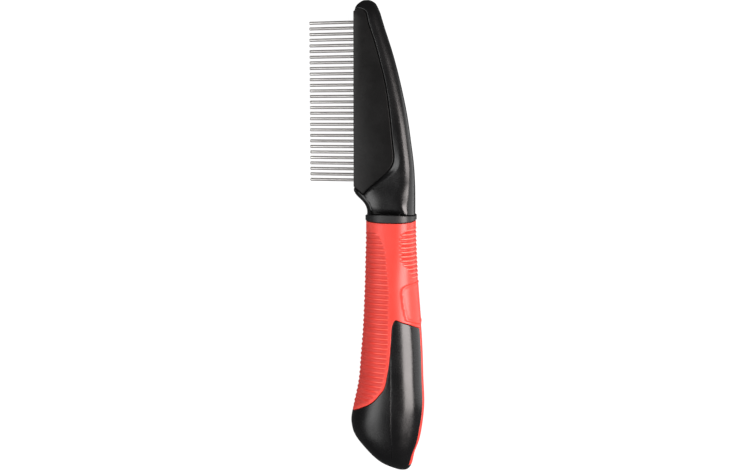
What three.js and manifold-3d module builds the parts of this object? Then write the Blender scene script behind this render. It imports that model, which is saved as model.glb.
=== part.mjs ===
// Undercoat comb with freely turning steel pins and a two-tone handle.
//
// Millimetres. The comb lies on its side: +Y runs along it from the butt to the tip of the head, the pins point
// along -X, the spine and the palm side face +X, and +Z stands out of the upper face. The comb is the same above
// and below its middle plane. Pieces are drawn with y = 0 at the butt and z = 0 on the middle plane, and the whole
// group is then moved so that its origin is the middle of the underside of its bounding box.

import * as THREE from 'three';
import { mergeVertices } from 'three/addons/utils/BufferGeometryUtils.js';
import Module from 'manifold-3d';

const wasm = await Module();
wasm.setup();

// ---- driving dimensions -------------------------------------------------------------------------------------

const gap = 0.3; // between pieces that are cut by each other
const fineGap = 0.1; // between flat faces that meet

const pinCount = 29;
const pinPitch = 2.404;
const firstPinY = 128.64;
const pinRadius = 0.65;
const pinTipX = -36.5;
const pinSides = 8;
const flangeRadius = 0.95;
const flangeLength = 0.8;
const flangeOuterX = -12.0; // the flange's face on the tip side
const boreClearance = 0.12; // between the pin and the flats of its bore
const flangePlay = 0.25; // along the pin, and round the flange

const plateLeftX = -15.8;
const plateHalf = 4.2; // half the thickness of the pin block
const plateEdge = 0.6; // half the diagonal of what is taken off the plates' long edge
const tongueHalf = 1.1; // half the thickness of the frame's tongue
const tongueDepth = 1.6;
const tongueRoot = 1; // how far the tongue starts inside the frame
const tongueFirst = 4; // the seam points that it runs between
const tongueLast = 13;

const neckBottomY = 114.0;
const headTipY = 205.0;

const collarBottomY = 111.7;
const collarTopY = 113.7;
const collarEdge = 0.3;

const tangHalfWidth = 5;
const tangHalfThick = 3.5;
const tangEndY = 72;
const tangClearance = 0.2;

const gripTopY = 111.4;
const gripWall = 2;
const coreTopY = 111.4;
const splitX = 2.3; // where the two halves of the core meet
const stripHalf = 2.2; // half the width of the grip's strip down the back
const stripEndY = 2.7;
const stripInnerX = 6;

const pegRadius = 2.5;
const pegLength = 4;
const pegYs = [23, 62];
const pegSides = 12;
const pocket = { y0: 30, y1: 55, halfHeight: 5.5, fingerX: -8.5, palmX: 9.5 };

// ---- profiles along the comb --------------------------------------------------------------------------------
// Each is a smooth curve through [y, value] pairs.

function profile(pairs) {
  const curve = new THREE.CubicInterpolant(pairs.map((p) => p[0]), pairs.map((p) => p[1]), 1);
  return (y) => curve.evaluate(y)[0];
}

const fingerEdge = profile([
  [0, 4.7], [1.1, 0.8], [2.8, -3.4], [5.4, -7.2], [8.1, -10.1], [10.8, -12.7], [13.5, -15], [16.2, -16.6],
  [19, -17.4], [21.8, -17.7], [24.6, -17.4], [30, -16.25], [35.6, -15], [41, -14.05], [52, -13.1],
  [63, -12.2], [73.5, -11.7], [84, -11.3], [95, -11.05], [103, -10.85], [111.7, -10.8],
]);
const palmEdge = profile([
  [0, 6.5], [1.1, 8.8], [2.8, 9.7], [5.4, 10.3], [8.1, 10.9], [10.8, 11.9], [13.5, 12.8], [19, 13.9],
  [24.6, 14.6], [30, 14.95], [41, 14.5], [52, 14.1], [63, 13.45], [73.5, 12.6], [84, 11.75], [95, 11],
  [103, 10.5], [111.7, 10.4],
]);
const handleHalf = profile([
  [0, 1.2], [1.1, 3.6], [2.8, 5.4], [5.4, 7.1], [8.1, 8.2], [13.5, 9.3], [18, 9.75], [24, 10], [40, 10],
  [63, 9.95], [84, 9.5], [105, 9.05], [111.7, 9.1],
]);
const headPinEdge = profile([
  [114, -10.4], [117.6, -10.6], [119.2, -11.5], [121.2, -13.5], [123, -15.2], [124.8, -15.78], [127, -15.8],
  [160, -15.8], [197, -15.8], [200, -15.7], [201.6, -15.35], [202.7, -14.8], [203.6, -13.95], [204.5, -12.6],
  [205, -10.9],
]);
const headSpineEdge = profile([
  [114, 10.35], [124, 10.3], [129, 10.15], [134, 9.85], [144, 8.6], [154.5, 7.05], [164.7, 5], [174.8, 2.55],
  [184.9, -0.4], [195, -3.8], [200, -5.4], [202, -6.3], [203.5, -7.2], [204.6, -8.8], [205, -10.3],
]);
const headHalf = profile([
  [114, 8.4], [118, 7.9], [122, 6.9], [127, 5.6], [133, 4.9], [140, 4.6], [190, 4.6], [198, 4.3], [202, 3.5],
  [204, 2.4], [205, 1.2],
]);

// Where the pin block meets the frame, seen from above, from its lower end round to the head's tip.
const seamPoints = [
  [-15.9, 125.9], [-13.3, 124], [-11.4, 122.7], [-8.9, 125.3], [-4.9, 129], [-1.4, 132.1], [1, 135.1], [1.8, 138],
  [1.1, 146.1], [0.2, 154.5], [-2.3, 171.2], [-4.5, 179.6], [-6.3, 186.1], [-8.3, 192], [-9.4, 195.2], [-10, 198],
  [-10.7, 199.7], [-11.8, 200.5], [-13.2, 201], [-14.5, 200.9], [-15.4, 200.3],
];

// The black panel and butt of the core, seen from above: the edge that the grip meets.
const panelEdge = [
  [-15, 27.2], [-10.8, 29.4], [-8.1, 30.9], [-5, 33.4], [-3.2, 35.6], [-1.2, 38.2], [0.2, 43], [1.3, 49.5],
  [2, 57], [2.4, 64], [3.2, 68.2], [4.1, 69.3], [5.7, 68.8], [8.4, 67.8], [12.4, 65.7], [13.6, 64.6],
];
const outside = 24; // further out than any piece of the handle or head reaches from the middle line

// ---- solids -------------------------------------------------------------------------------------------------

function solidOf(geometry) {
  const plain = geometry.clone();
  plain.deleteAttribute('normal');
  plain.deleteAttribute('uv');
  const merged = mergeVertices(plain, 1e-4);
  return new wasm.Manifold(new wasm.Mesh({
    numProp: 3,
    vertProperties: Float32Array.from(merged.attributes.position.array),
    triVerts: Uint32Array.from(merged.index.array),
  }));
}

function geometryOf(solid) {
  const mesh = solid.getMesh();
  const geometry = new THREE.BufferGeometry();
  geometry.setAttribute('position', new THREE.BufferAttribute(mesh.vertProperties, 3));
  geometry.setIndex(new THREE.BufferAttribute(mesh.triVerts, 1));
  geometry.computeVertexNormals();
  return geometry;
}

function box(x0, x1, y0, y1, z0, z1) {
  const geometry = new THREE.BoxGeometry(x1 - x0, y1 - y0, z1 - z0);
  geometry.translate((x0 + x1) / 2, (y0 + y1) / 2, (z0 + z1) / 2);
  return solidOf(geometry);
}

// An outline in plan, drawn out between two heights.
function prism(points, z0, z1) {
  const shape = new THREE.Shape(points.map(([x, y]) => new THREE.Vector2(x, y)));
  const geometry = new THREE.ExtrudeGeometry(shape, { depth: z1 - z0, bevelEnabled: false });
  geometry.translate(0, 0, z0);
  return solidOf(geometry);
}

// A cylinder along X.
function rod(x0, x1, y, z, radius, sides) {
  const geometry = new THREE.CylinderGeometry(radius, radius, x1 - x0, sides);
  geometry.rotateZ(Math.PI / 2);
  geometry.translate((x0 + x1) / 2, y, z);
  return solidOf(geometry);
}

// A closed skin over rings of points that all hold the same number of points, the first ring at the lowest y.
function loft(rings) {
  const count = rings[0].length;
  const positions = rings.flat(2);
  const index = [];
  for (let ring = 0; ring + 1 < rings.length; ring++) {
    for (let i = 0; i < count; i++) {
      const a = ring * count + i;
      const b = ring * count + (i + 1) % count;
      index.push(a, a + count, b, b, a + count, b + count);
    }
  }
  const last = (rings.length - 1) * count;
  for (let i = 1; i + 1 < count; i++) {
    index.push(0, i, i + 1);
    index.push(last, last + i + 1, last + i);
  }
  const geometry = new THREE.BufferGeometry();
  geometry.setAttribute('position', new THREE.Float32BufferAttribute(positions, 3));
  geometry.setIndex(index);
  return solidOf(geometry);
}

// A section of rounded corners at one y. Left of centre it is squarer or rounder than on the right, as the two
// powers say: 2 is an ellipse, and higher is squarer.
function section(y, left, right, centre, half, leftPower, rightPower, count) {
  const points = [];
  for (let i = 0; i < count; i++) {
    const turn = 2 * Math.PI * i / count;
    const toRight = Math.cos(turn) >= 0;
    const power = 2 / (toRight ? rightPower : leftPower);
    const reach = toRight ? right - centre : centre - left;
    const x = centre + reach * Math.sign(Math.cos(turn)) * Math.abs(Math.cos(turn)) ** power;
    const z = half * Math.sign(Math.sin(turn)) * Math.abs(Math.sin(turn)) ** power;
    points.push([x, y, z]);
  }
  return points;
}

// Points moved sideways by a distance, to the left of the way they run.
function offset(points, distance) {
  return points.map(([x, y], i) => {
    const before = points[Math.max(i - 1, 0)];
    const after = points[Math.min(i + 1, points.length - 1)];
    const run = new THREE.Vector2(after[0] - before[0], after[1] - before[1]).normalize();
    return [x - run.y * distance, y + run.x * distance];
  });
}

// ---- handle -------------------------------------------------------------------------------------------------

const handlePoints = 28;
const handlePower = 2.35;
const buttStations = [0, 1, 2.6, 5, 8, 12, 16, 20, 24, 29, 35];

// The handle's outer form, pushed out or in by a distance, between the butt end and a height up the handle.
function handleForm(grow, topY) {
  const stations = [...buttStations];
  for (let y = 42; y < topY - 3; y += 10) {
    stations.push(y);
  }
  stations.push(topY);
  return loft(stations.map((at) => {
    const y = Math.max(at, 0);
    const left = fingerEdge(y) - grow;
    const right = palmEdge(y) + grow;
    const middle = (left + right) / 2;
    return section(at - (at === 0 ? grow : 0), left, right, middle, handleHalf(y) + grow, handlePower,
      handlePower, handlePoints);
  }));
}

// The inner form lies a wall's thickness inside the outer one, and starts further up the butt.
function innerForm(wall, topY) {
  const start = 6;
  const stations = [start, 9, 13, 18, 23, 29, 35];
  for (let y = 42; y < topY - 3; y += 10) {
    stations.push(y);
  }
  stations.push(topY);
  return loft(stations.map((y) => {
    const left = fingerEdge(y) + wall;
    const right = palmEdge(y) - wall;
    return section(y, left, right, (left + right) / 2, handleHalf(y) - wall, handlePower, handlePower,
      handlePoints);
  }));
}

// The space of the bare panel and butt, grown sideways by a distance. The strip down the back is left out of it.
function panelSpace(grow) {
  const edge = offset(panelEdge, grow);
  const plan = [
    [outside, -outside], [outside, edge[edge.length - 1][1]], ...edge.slice().reverse(), [-outside, edge[0][1]],
    [-outside, -outside],
  ];
  const half = stripHalf - grow;
  const strip = box(stripInnerX, outside + 1, stripEndY + grow, headTipY, -half, half);
  return prism(plan.reverse(), -outside, outside).subtract(strip);
}

function coreForm() {
  return innerForm(gripWall, coreTopY).add(handleForm(0, coreTopY).intersect(panelSpace(0)));
}

function tangSlot() {
  const wide = tangHalfWidth + tangClearance;
  const thick = tangHalfThick + tangClearance;
  return box(-wide, wide, tangEndY - 1, coreTopY + 1, -thick, thick);
}

function coreFinger() {
  let half = coreForm().intersect(box(-outside, splitX - fineGap / 2, -1, coreTopY + 1, -outside, outside));
  half = half.subtract(tangSlot());
  half = half.subtract(
    box(pocket.fingerX, splitX + 1, pocket.y0, pocket.y1, -pocket.halfHeight, pocket.halfHeight));
  for (const y of pegYs) {
    half = half.subtract(rod(splitX - pegLength - gap, splitX + 1, y, 0, pegRadius + gap, pegSides));
  }
  return half;
}

function corePalm() {
  let half = coreForm().intersect(box(splitX + fineGap / 2, outside, -1, coreTopY + 1, -outside, outside));
  half = half.subtract(tangSlot());
  half = half.subtract(
    box(splitX - 1, pocket.palmX, pocket.y0, pocket.y1, -pocket.halfHeight, pocket.halfHeight));
  for (const y of pegYs) {
    half = half.add(rod(splitX - pegLength, splitX + 1, y, 0, pegRadius, pegSides));
  }
  return half;
}

function grip() {
  const skin = handleForm(0, gripTopY).subtract(innerForm(gripWall - gap, gripTopY + 1));
  return skin.subtract(panelSpace(gap)).intersect(box(-outside, outside, stripEndY + gap, gripTopY, -outside, outside));
}

function collar() {
  const rings = [[collarBottomY, 0], [collarBottomY + collarEdge, collarEdge], [collarTopY - collarEdge, collarEdge],
    [collarTopY, 0]];
  const left = fingerEdge(collarBottomY);
  const right = palmEdge(collarBottomY);
  const body = loft(rings.map(([y, proud]) => section(y, left - proud, right + proud, (left + right) / 2,
    handleHalf(collarBottomY) + proud, handlePower, handlePower, handlePoints)));
  const wide = tangHalfWidth + tangClearance;
  const thick = tangHalfThick + tangClearance;
  return body.subtract(box(-wide, wide, collarBottomY - 1, collarTopY + 1, -thick, thick));
}

// ---- head ---------------------------------------------------------------------------------------------------

const headPoints = 24;
const headStations = [
  neckBottomY, 117.6, 119.2, 121.2, 123, 124.8, 127, 130, 134, 141, 149, 157, 166, 175, 184, 192, 197, 200, 201.6, 202.7,
  203.6, 204.5, headTipY,
];
const spineReach = 6.5; // how far in from the back edge the spine's rounding starts
const neckPower = 2.4;
const blockPower = 9;
const spinePower = 2.7;

function headForm() {
  return loft(headStations.map((y) => {
    const left = headPinEdge(y);
    const right = headSpineEdge(y);
    const flat = THREE.MathUtils.smoothstep(y, neckBottomY, 128);
    const middle = (left + right) / 2;
    const reach = Math.min(spineReach, (right - left) / 2);
    const centre = THREE.MathUtils.lerp(middle, right - reach, flat);
    const pinPower = THREE.MathUtils.lerp(neckPower, blockPower, flat);
    const backPower = THREE.MathUtils.lerp(neckPower, spinePower, flat);
    return section(y, left, right, centre, headHalf(y), pinPower, backPower, headPoints);
  }));
}

// The plan of everything on the pin side of a line beside the seam.
function pinSide(inward) {
  const edge = offset(seamPoints, inward);
  return [[-outside, edge[0][1]], ...edge, [-outside, edge[edge.length - 1][1]]];
}

// The frame's tongue, which the plates close round, follows the seam between two of its points.
function tongue(first, last, depth, half) {
  const run = seamPoints.slice(first, last + 1);
  return prism([...offset(run, depth), ...offset(run, -tongueRoot).reverse()].reverse(), -half, half);
}

function headFrame() {
  const tang = box(-tangHalfWidth, tangHalfWidth, tangEndY, neckBottomY + 2, -tangHalfThick, tangHalfThick);
  return headForm()
    .subtract(prism(pinSide(0), -outside, outside))
    .add(tongue(tongueFirst, tongueLast, tongueDepth, tongueHalf))
    .add(tang);
}

// One half of the pin block, above or below the middle plane. Bores, the groove that holds the pins' flanges and
// the rebate over the frame's tongue are cut into its inner face.
function pinPlate(side) {
  const plan = pinSide(gap).map(([x, y]) => [Math.max(x, plateLeftX), y]);
  const inner = fineGap / 2;
  const low = side > 0 ? inner : -plateHalf;
  const high = side > 0 ? plateHalf : -inner;
  let plate = prism(plan, low, high);
  const bevel = box(-plateEdge, plateEdge, neckBottomY, headTipY, -plateEdge, plateEdge);
  plate = plate.subtract(bevel.rotate([0, 45, 0]).translate([plateLeftX, 0, side * plateHalf]));
  plate = plate.subtract(tongue(tongueFirst - 1, tongueLast + 1, tongueDepth + gap, tongueHalf + gap));
  const grooveHalf = flangeRadius + flangePlay;
  plate = plate.subtract(box(flangeOuterX - flangePlay, flangeOuterX + flangeLength + flangePlay,
    firstPinY - grooveHalf, pinY(pinCount - 1) + grooveHalf, -grooveHalf, grooveHalf));
  const boreRadius = (pinRadius + boreClearance) / Math.cos(Math.PI / pinSides);
  for (let i = 0; i < pinCount; i++) {
    plate = plate.subtract(rod(plateLeftX - 1, flangeOuterX, pinY(i), 0, boreRadius, pinSides));
  }
  return plate;
}

// ---- pins ---------------------------------------------------------------------------------------------------

function pinY(i) {
  return firstPinY + i * pinPitch;
}

// A steel pin with a rounded tip, turned about its own axis, and a flange at the root that keeps it in the block.
function pinGeometry() {
  const length = flangeOuterX - pinTipX;
  const outline = [
    [0, 0], [0.3, 0.06], [0.52, 0.24], [pinRadius, 0.65], [pinRadius, length], [flangeRadius, length],
    [flangeRadius, length + flangeLength], [0, length + flangeLength],
  ];
  const geometry = new THREE.LatheGeometry(outline.map(([r, along]) => new THREE.Vector2(r, along)), pinSides);
  geometry.rotateZ(-Math.PI / 2);
  return geometry;
}

// ---- assembly -----------------------------------------------------------------------------------------------

const blackPlastic = new THREE.MeshStandardMaterial({ color: 0x1d1d1f, roughness: 0.42, metalness: 0 });
const satinPlastic = new THREE.MeshStandardMaterial({ color: 0x222224, roughness: 0.6, metalness: 0 });
const redRubber = new THREE.MeshStandardMaterial({ color: 0xe8402f, roughness: 0.55, metalness: 0 });
const steel = new THREE.MeshStandardMaterial({ color: 0xc9c8c5, roughness: 0.22, metalness: 1 });

function part(name, geometry, material) {
  const mesh = new THREE.Mesh(geometry, material);
  mesh.name = name;
  return mesh;
}

const comb = new THREE.Group();
comb.add(part('head_frame', geometryOf(headFrame()), blackPlastic));
comb.add(part('pin_plate_front', geometryOf(pinPlate(1)), satinPlastic));
comb.add(part('pin_plate_rear', geometryOf(pinPlate(-1)), satinPlastic));
comb.add(part('collar_ring', geometryOf(collar()), blackPlastic));
comb.add(part('handle_core_finger_side', geometryOf(coreFinger()), blackPlastic));
comb.add(part('handle_core_palm_side', geometryOf(corePalm()), blackPlastic));
comb.add(part('grip_sleeve', geometryOf(grip()), redRubber));
for (let i = 0; i < pinCount; i++) {
  const pin = part(`pin_${String(i + 1).padStart(2, '0')}`, pinGeometry(), steel);
  pin.position.set(pinTipX, pinY(i), 0);
  comb.add(pin);
}

const undercoatComb = new THREE.Group();
undercoatComb.add(comb);
const bounds = new THREE.Box3().setFromObject(comb);
const centre = bounds.getCenter(new THREE.Vector3());
comb.position.set(-centre.x, -centre.y, -bounds.min.z);

export default undercoatComb;
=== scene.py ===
"""Undercoat comb: the finished looks of every piece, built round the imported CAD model.

Shapes are worked out in millimetres in the comb's own plan: y runs from 0 at the butt to the head's tip, x is
0 on the handle's middle line with the pins towards -x, and z is 0 on the middle plane. place() takes them to
the row frame, in metres, from where the CAD model's pins and box lie. The finger side is the one with the
pins, and the palm side is the one with the head's spine.
"""

import math

import bmesh
import bpy
import numpy as np
from mathutils import Matrix, Vector
from mathutils.kdtree import KDTree


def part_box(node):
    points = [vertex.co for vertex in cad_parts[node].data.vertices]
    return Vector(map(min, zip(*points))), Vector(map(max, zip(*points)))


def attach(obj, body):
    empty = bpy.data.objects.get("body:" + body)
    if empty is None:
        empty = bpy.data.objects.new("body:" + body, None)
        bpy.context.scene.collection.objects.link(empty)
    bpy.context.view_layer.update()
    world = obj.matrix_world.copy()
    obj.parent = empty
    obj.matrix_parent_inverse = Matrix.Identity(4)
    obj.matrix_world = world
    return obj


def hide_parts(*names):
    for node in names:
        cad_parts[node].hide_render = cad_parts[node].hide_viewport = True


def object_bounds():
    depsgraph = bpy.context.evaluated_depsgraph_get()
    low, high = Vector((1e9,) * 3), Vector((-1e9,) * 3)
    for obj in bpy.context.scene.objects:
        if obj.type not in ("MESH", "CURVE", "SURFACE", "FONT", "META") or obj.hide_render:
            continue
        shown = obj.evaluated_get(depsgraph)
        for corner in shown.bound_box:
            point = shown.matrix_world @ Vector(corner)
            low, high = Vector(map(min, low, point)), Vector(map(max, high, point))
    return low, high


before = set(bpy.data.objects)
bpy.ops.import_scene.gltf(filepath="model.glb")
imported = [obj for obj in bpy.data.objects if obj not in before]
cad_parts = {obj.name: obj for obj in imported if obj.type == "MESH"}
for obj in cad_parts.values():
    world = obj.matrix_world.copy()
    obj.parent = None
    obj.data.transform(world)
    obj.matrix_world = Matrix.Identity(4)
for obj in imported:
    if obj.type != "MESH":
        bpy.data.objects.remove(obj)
cad_low, cad_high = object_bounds()

MM = 0.001
PIN_TIP_X = -36.5
ORIGIN = Vector((
    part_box("pin_01")[0].x - PIN_TIP_X * MM,
    cad_low.y,
    (cad_low.z + cad_high.z) / 2,
))

# ---- driving dimensions, in mm ----

COLUMNS = 144  # points round a section
OUTSIDE = 30.0  # further from the middle line than any piece reaches
TINY = 1e-6
MERGE = 0.02  # points nearer than this become one
END_SHRINK_LEAST = 1e-4  # so that the last section of a round end still has some size
CUT_MARGIN = 0.01  # how far a cut stays clear of a ring of points, or of the line that it follows
SHARP_ANGLE = 38  # degrees. Edges that turn by more than this are shaded as sharp.

# Seams and the rounded edges beside them
SEAM_GAP = 0.05  # half the gap between two pieces that meet
LIP = 0.32  # how far a piece rounds off towards a seam
LIP_STEPS = (0.05, 0.12, 0.21, LIP)
HEAD_GAP = 0.25  # half the gap between the pin block and the frame
PLATE_LIP = 0.18
PLATE_FOOT = 0.45  # how much further out the plates reach under that gap
SEAM_DEPTH = 1.1  # how deep the gap is
SPLIT_X = 2.3  # where the two halves of the core meet
SPLIT_GAP = 0.07  # half the gap between them
SPLIT_STEPS = (0.03, 0.08, 0.15)
SPLIT_FADE_Y = (56, 40)  # the split's rounded edges show below this
SPLIT_BUTT_FADE_Y = (5, 9)
FRAME_WEAR_AND_HIGHLIGHT = 0.3  # how far edges go towards the lighter colour: partly wear, partly a painted highlight on the rounded lips
PLATE_WEAR_AND_HIGHLIGHT = 0.25
CORE_WEAR_AND_HIGHLIGHT = 0.5
SPLIT_WEAR_AND_HIGHLIGHT = 0.15
SEAM_SLOPE = (0.8, 3.8)  # how far the frame's slope down to the gap reaches, at the neck and further up
SEAM_SLOPE_Y = (126, 137)
SEAM_SLOPE_START_Y = (119, 123)

# Pins, and the block that holds them
PIN_COUNT = 29
PIN_PITCH = 2.404
FIRST_PIN_Y = 128.64
PIN_RADIUS = 0.65
PIN_TIP_LENGTH = 0.4
PIN_SIDES = 32
PIN_RING_X = (-30.0, -24.0, -18.0, -14.0)  # between the tip and the flange
FLANGE_RADIUS = 0.95
FLANGE_OUTER_X = -12.0
FLANGE_LENGTH = 0.8
FLANGE_EDGE = 0.06
FLANGE_PLAY = 0.25
BORE_CLEARANCE = 0.12
BORE_LENGTH = 7.2  # the cutter's length, half of which lies in the block
PLATE_LEFT_X = -15.8
PLATE_HALF = 4.2
PLATE_INNER = 0.05  # from the middle plane to the plate's inner face
PLATE_SIDE_POINTS = 60
ROUND_STEPS = 6  # steps round a quarter circle, on the plates and the collar

# Collar
COLLAR_Y = (111.7, 113.7)
COLLAR_PROUD = 0.3
COLLAR_RISE = 0.7  # more height at the front and back than at the sides, at the top
COLLAR_DIP = 0.6  # and at the bottom
COLLAR_CLEARANCE = 0.2

# Handle
BUTT_END = 0.5  # the last stretch of the butt, which rounds off to a point
BUTT_Y = 9.0  # below this the sections lie closer and closer together
HANDLE_POWER = 2.35  # a section's power is 2 where it is an ellipse, and higher where it is squarer
TOP_PALM_POWER = 3.2
TOP_PALM_FADE_Y = (84, 106)
BULGE_SHIFT = 2.1  # how far the crown of the lower handle lies to the palm side of the middle
BULGE_FADE_Y = (56, 34)
BULGE_BUTT_FADE_Y = (3, 14)
CHANNEL_DEPTH = (0.7, 1.9)  # how deep the core lies under the grip, at the butt and further up
CORE_WALL = (0.7, 1.8)  # the core's thickness below that, at the same places
CHANNEL_FULL_Y = 20
STRIP_HALF = 1.75  # the strip of grip that runs down the palm side, between the front panel and the rear one
STRIP_WIDER = 1.2  # more half width at the butt
STRIP_WIDER_Y = (38, 16)
STRIP_INNER_X = 6.0  # no strip on the finger side of this
STRIP_END_Y = 2.7

# The grip, its ribs and its pad
GRIP_TOP_Y = 111.4
GRIP_BUTT_Y = 2.0
GRIP_TOP_STEPS = (0.06, 0.15)
GRIP_CLEARANCE = 0.1  # between the grip's inner side and the core
FINGER_RIB_TOP = 105.93
FINGER_RIB_PITCH = 2.144
FINGER_RIB_SHARPNESS = 3.0
PALM_RIB_TOP = 108.0
PALM_RIB_PITCH = 1.875
PALM_RIB_SHARPNESS = 0.8
PALM_RIB_SCALE = 1.2  # how much higher the palm ribs are than the finger ribs
PALM_FIELD_END_Y = 86.3
RIB_RISE = 0.2
RIB_DROP = 0.14
RIB_MARGIN = 1.2  # between the ribs and the grip's edge
RIB_STEP = 0.255  # between the sections that carry the ribs
RIB_SECTIONS_Y = (29, 108.6)
PAD_RISE = 0.14
PAD_RIM_RISE = 0.2
PAD_RIM_WIDTH = 0.75
SMOOTH = 0.6  # the mark of the grip's smooth parts; the ribs' crests have 1, a painted highlight
GROOVE_SHADE = 0.18  # and between the ribs, a painted shade
PALM_CREST_HIGHLIGHT = 0.3  # how much more painted highlight the palm ribs' crests have than the smooth parts
FINGER_SIDE_CREST_HIGHLIGHT = 0.3  # the share of the painted crest highlight on the crests that curve down to the finger side
FINGER_SIDE_CREST_HIGHLIGHT_X = (-8, -3.5)

# Head, neck and tang
NECK_Y = 114.0
TIP_Y = 205.0
HEAD_TIP = 0.35  # the last stretch of the tip, which rounds off to a point
NECK_TOP_Y = 136  # below this the sections lie closer together
BLOCK_Y = 128  # from here up the head is flat in front
SPINE_REACH = 6.5
NECK_POWER = 2.6
NECK_SPINE_POWER = 2.5
BLOCK_POWER = 9.0
SPINE_POWER = 2.7
FACET_X = -2.6  # where the front of the neck starts to lean to the finger side
FACET_Z = 7.1
FACET_RADIUS = 35.0
FACET_SLOPE = 0.09
FACET_Y = 120
FACET_FADE_Y = (127, 124)
NECK_FOOT = 4.2  # the height over which the neck rounds off to the collar
NECK_FOOT_DROP = 1.5
NECK_FOOT_POWER = 1.4
NECK_FOOT_X = (8.8, 4.6)  # the foot fades out towards the spine
LEDGE_Z = 4.7  # the ledge under the pin block, on the finger side of the crease
LEDGE_LEAN = 0.44
LEDGE_GROOVE = 0.45  # how much deeper the ledge is beside the crease
LEDGE_GROOVE_REACH = 0.6
LEDGE_STEP = 0.15  # how wide the step down to the ledge is
LEDGE_LOW_FADE_Y = (114.4, 116)
LEDGE_TOP_FADE_Y = (125, 123.5)
TANG_END_Y = 72.0
TANG_HALF_WIDTH = 5.0
TANG_HALF_THICK = 3.5
TANG_POWER = 7.0

# Materials, camera and floor
GRAIN_DEPTH = 0.004
CAMERA_ROLL = 14  # degrees, to the spine side
CAMERA_DISTANCE = 400.0
CAMERA_AHEAD = 49.0  # how far it stands towards the head from what it looks at
CAMERA_TARGET = (-11.72, 104.6, 0)
CAMERA_LENS = 45.09
CAMERA_SENSOR = 36
FLOOR_HALF = 12000
FLOOR_GAP = 0.2  # below the comb
FLOOR_SHADE = 0.12
FLOOR_GLOW = 0.95
WORLD_GLOW = 0.11
WARM = (1.0, 0.93, 0.91)


# ---- curves ----


def spline(ats, values):
    """A curve through the values with continuous bending, as a function."""
    ats = np.array(ats, float)
    values = np.array(values, float)
    gaps = np.diff(ats)
    rows = np.eye(len(ats))
    right = np.zeros(len(ats))
    slopes = np.diff(values) / gaps
    for i in range(1, len(ats) - 1):
        rows[i, i - 1 : i + 2] = gaps[i - 1], 2 * (gaps[i - 1] + gaps[i]), gaps[i]
        right[i] = 6 * (slopes[i] - slopes[i - 1])
    bends = np.linalg.solve(rows, right)

    def at(where):
        where = np.clip(where, ats[0], ats[-1])
        i = np.clip(np.searchsorted(ats, where) - 1, 0, len(gaps) - 1)
        before = where - ats[i]
        after = ats[i + 1] - where
        gap = gaps[i]
        bent = (bends[i] * after**3 + bends[i + 1] * before**3) / (6 * gap)
        left = (values[i] / gap - bends[i] * gap / 6) * after
        return bent + left + (values[i + 1] / gap - bends[i + 1] * gap / 6) * before

    return at


def along_handle(pairs):
    """A profile of the handle against y. The square root makes its end at the butt round."""
    curve = spline([math.sqrt(y) for y, _ in pairs], [value for _, value in pairs])
    return lambda y: curve(np.sqrt(np.maximum(y, 0)))


def along_head(pairs):
    """A profile of the head against y, with its round end at the tip."""
    back = pairs[::-1]
    curve = spline([math.sqrt(TIP_Y - y) for y, _ in back], [value for _, value in back])
    return lambda y: curve(np.sqrt(np.maximum(TIP_Y - y, 0)))


def smooth_line(points, step=0.4):
    """The points of a smooth curve through a few points of the plan."""
    points = np.array(points, float)
    run = np.concatenate([[0], np.cumsum(np.linalg.norm(np.diff(points, axis=0), axis=1))])
    ats = np.linspace(0, run[-1], int(run[-1] / step) + 1)
    return np.stack([spline(run, points[:, 0])(ats), spline(run, points[:, 1])(ats)], 1)


def smoothstep(value, low, high):
    """0 up to low, 1 from high on and smooth between them. low may be the greater of the two."""
    share = np.clip((value - low) / (high - low), 0, 1)
    return share * share * (3 - 2 * share)


# How far the handle and the head reach: to the finger side, to the palm side, and to the front and back.
finger_edge = along_handle([
    (0, 4.7), (1.1, 0.8), (2.8, -3.4), (5.4, -7.2), (8.1, -10.1), (10.8, -12.7), (13.5, -15), (16.2, -16.6),
    (19, -17.4), (21.8, -17.7), (24.6, -17.4), (30, -16.25), (35.6, -15), (41, -14.05), (52, -13.1),
    (63, -12.2), (73.5, -11.7), (84, -11.3), (95, -11.05), (103, -10.85), (111.7, -10.8),
])
palm_edge = along_handle([
    (0, 6.5), (1.1, 8.8), (2.8, 9.7), (5.4, 10.3), (8.1, 10.9), (10.8, 11.9), (13.5, 12.8), (19, 13.9),
    (24.6, 14.6), (30, 14.95), (41, 14.5), (52, 14.1), (63, 13.45), (73.5, 12.6), (84, 11.75), (95, 11),
    (103, 10.5), (111.7, 10.4),
])
handle_half = along_handle([
    (0, 1.2), (1.1, 3.6), (2.8, 5.4), (5.4, 7.1), (8.1, 8.2), (13.5, 9.3), (18, 9.75), (24, 10), (40, 10),
    (63, 9.95), (84, 9.5), (105, 9.05), (111.7, 9.1),
])
head_pin_edge = along_head([
    (114, -10.4), (117.6, -10.6), (119.2, -11.5), (121.2, -13.5), (123, -15.2), (124.8, -15.78),
    (127, -15.8), (160, -15.8), (197, -15.8), (200, -15.7), (201.6, -15.35), (202.7, -14.8), (203.6, -13.95),
    (204.5, -12.6), (205, -10.9),
])
head_spine_edge = along_head([
    (114, 10.35), (124, 10.3), (129, 10.15), (134, 9.85), (144, 8.6), (154.5, 7.05), (164.7, 5),
    (174.8, 2.55), (184.9, -0.4), (195, -3.8), (200, -5.4), (202, -6.3), (203.5, -7.2), (204.6, -8.8),
    (205, -10.3),
])
head_half = along_head([
    (114, 8.4), (118, 7.9), (122, 6.9), (127, 5.65), (133, 4.8), (140, 4.46), (190, 4.4), (198, 4.2),
    (202, 3.5), (204, 2.4), (205, 1.2),
])

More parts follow.
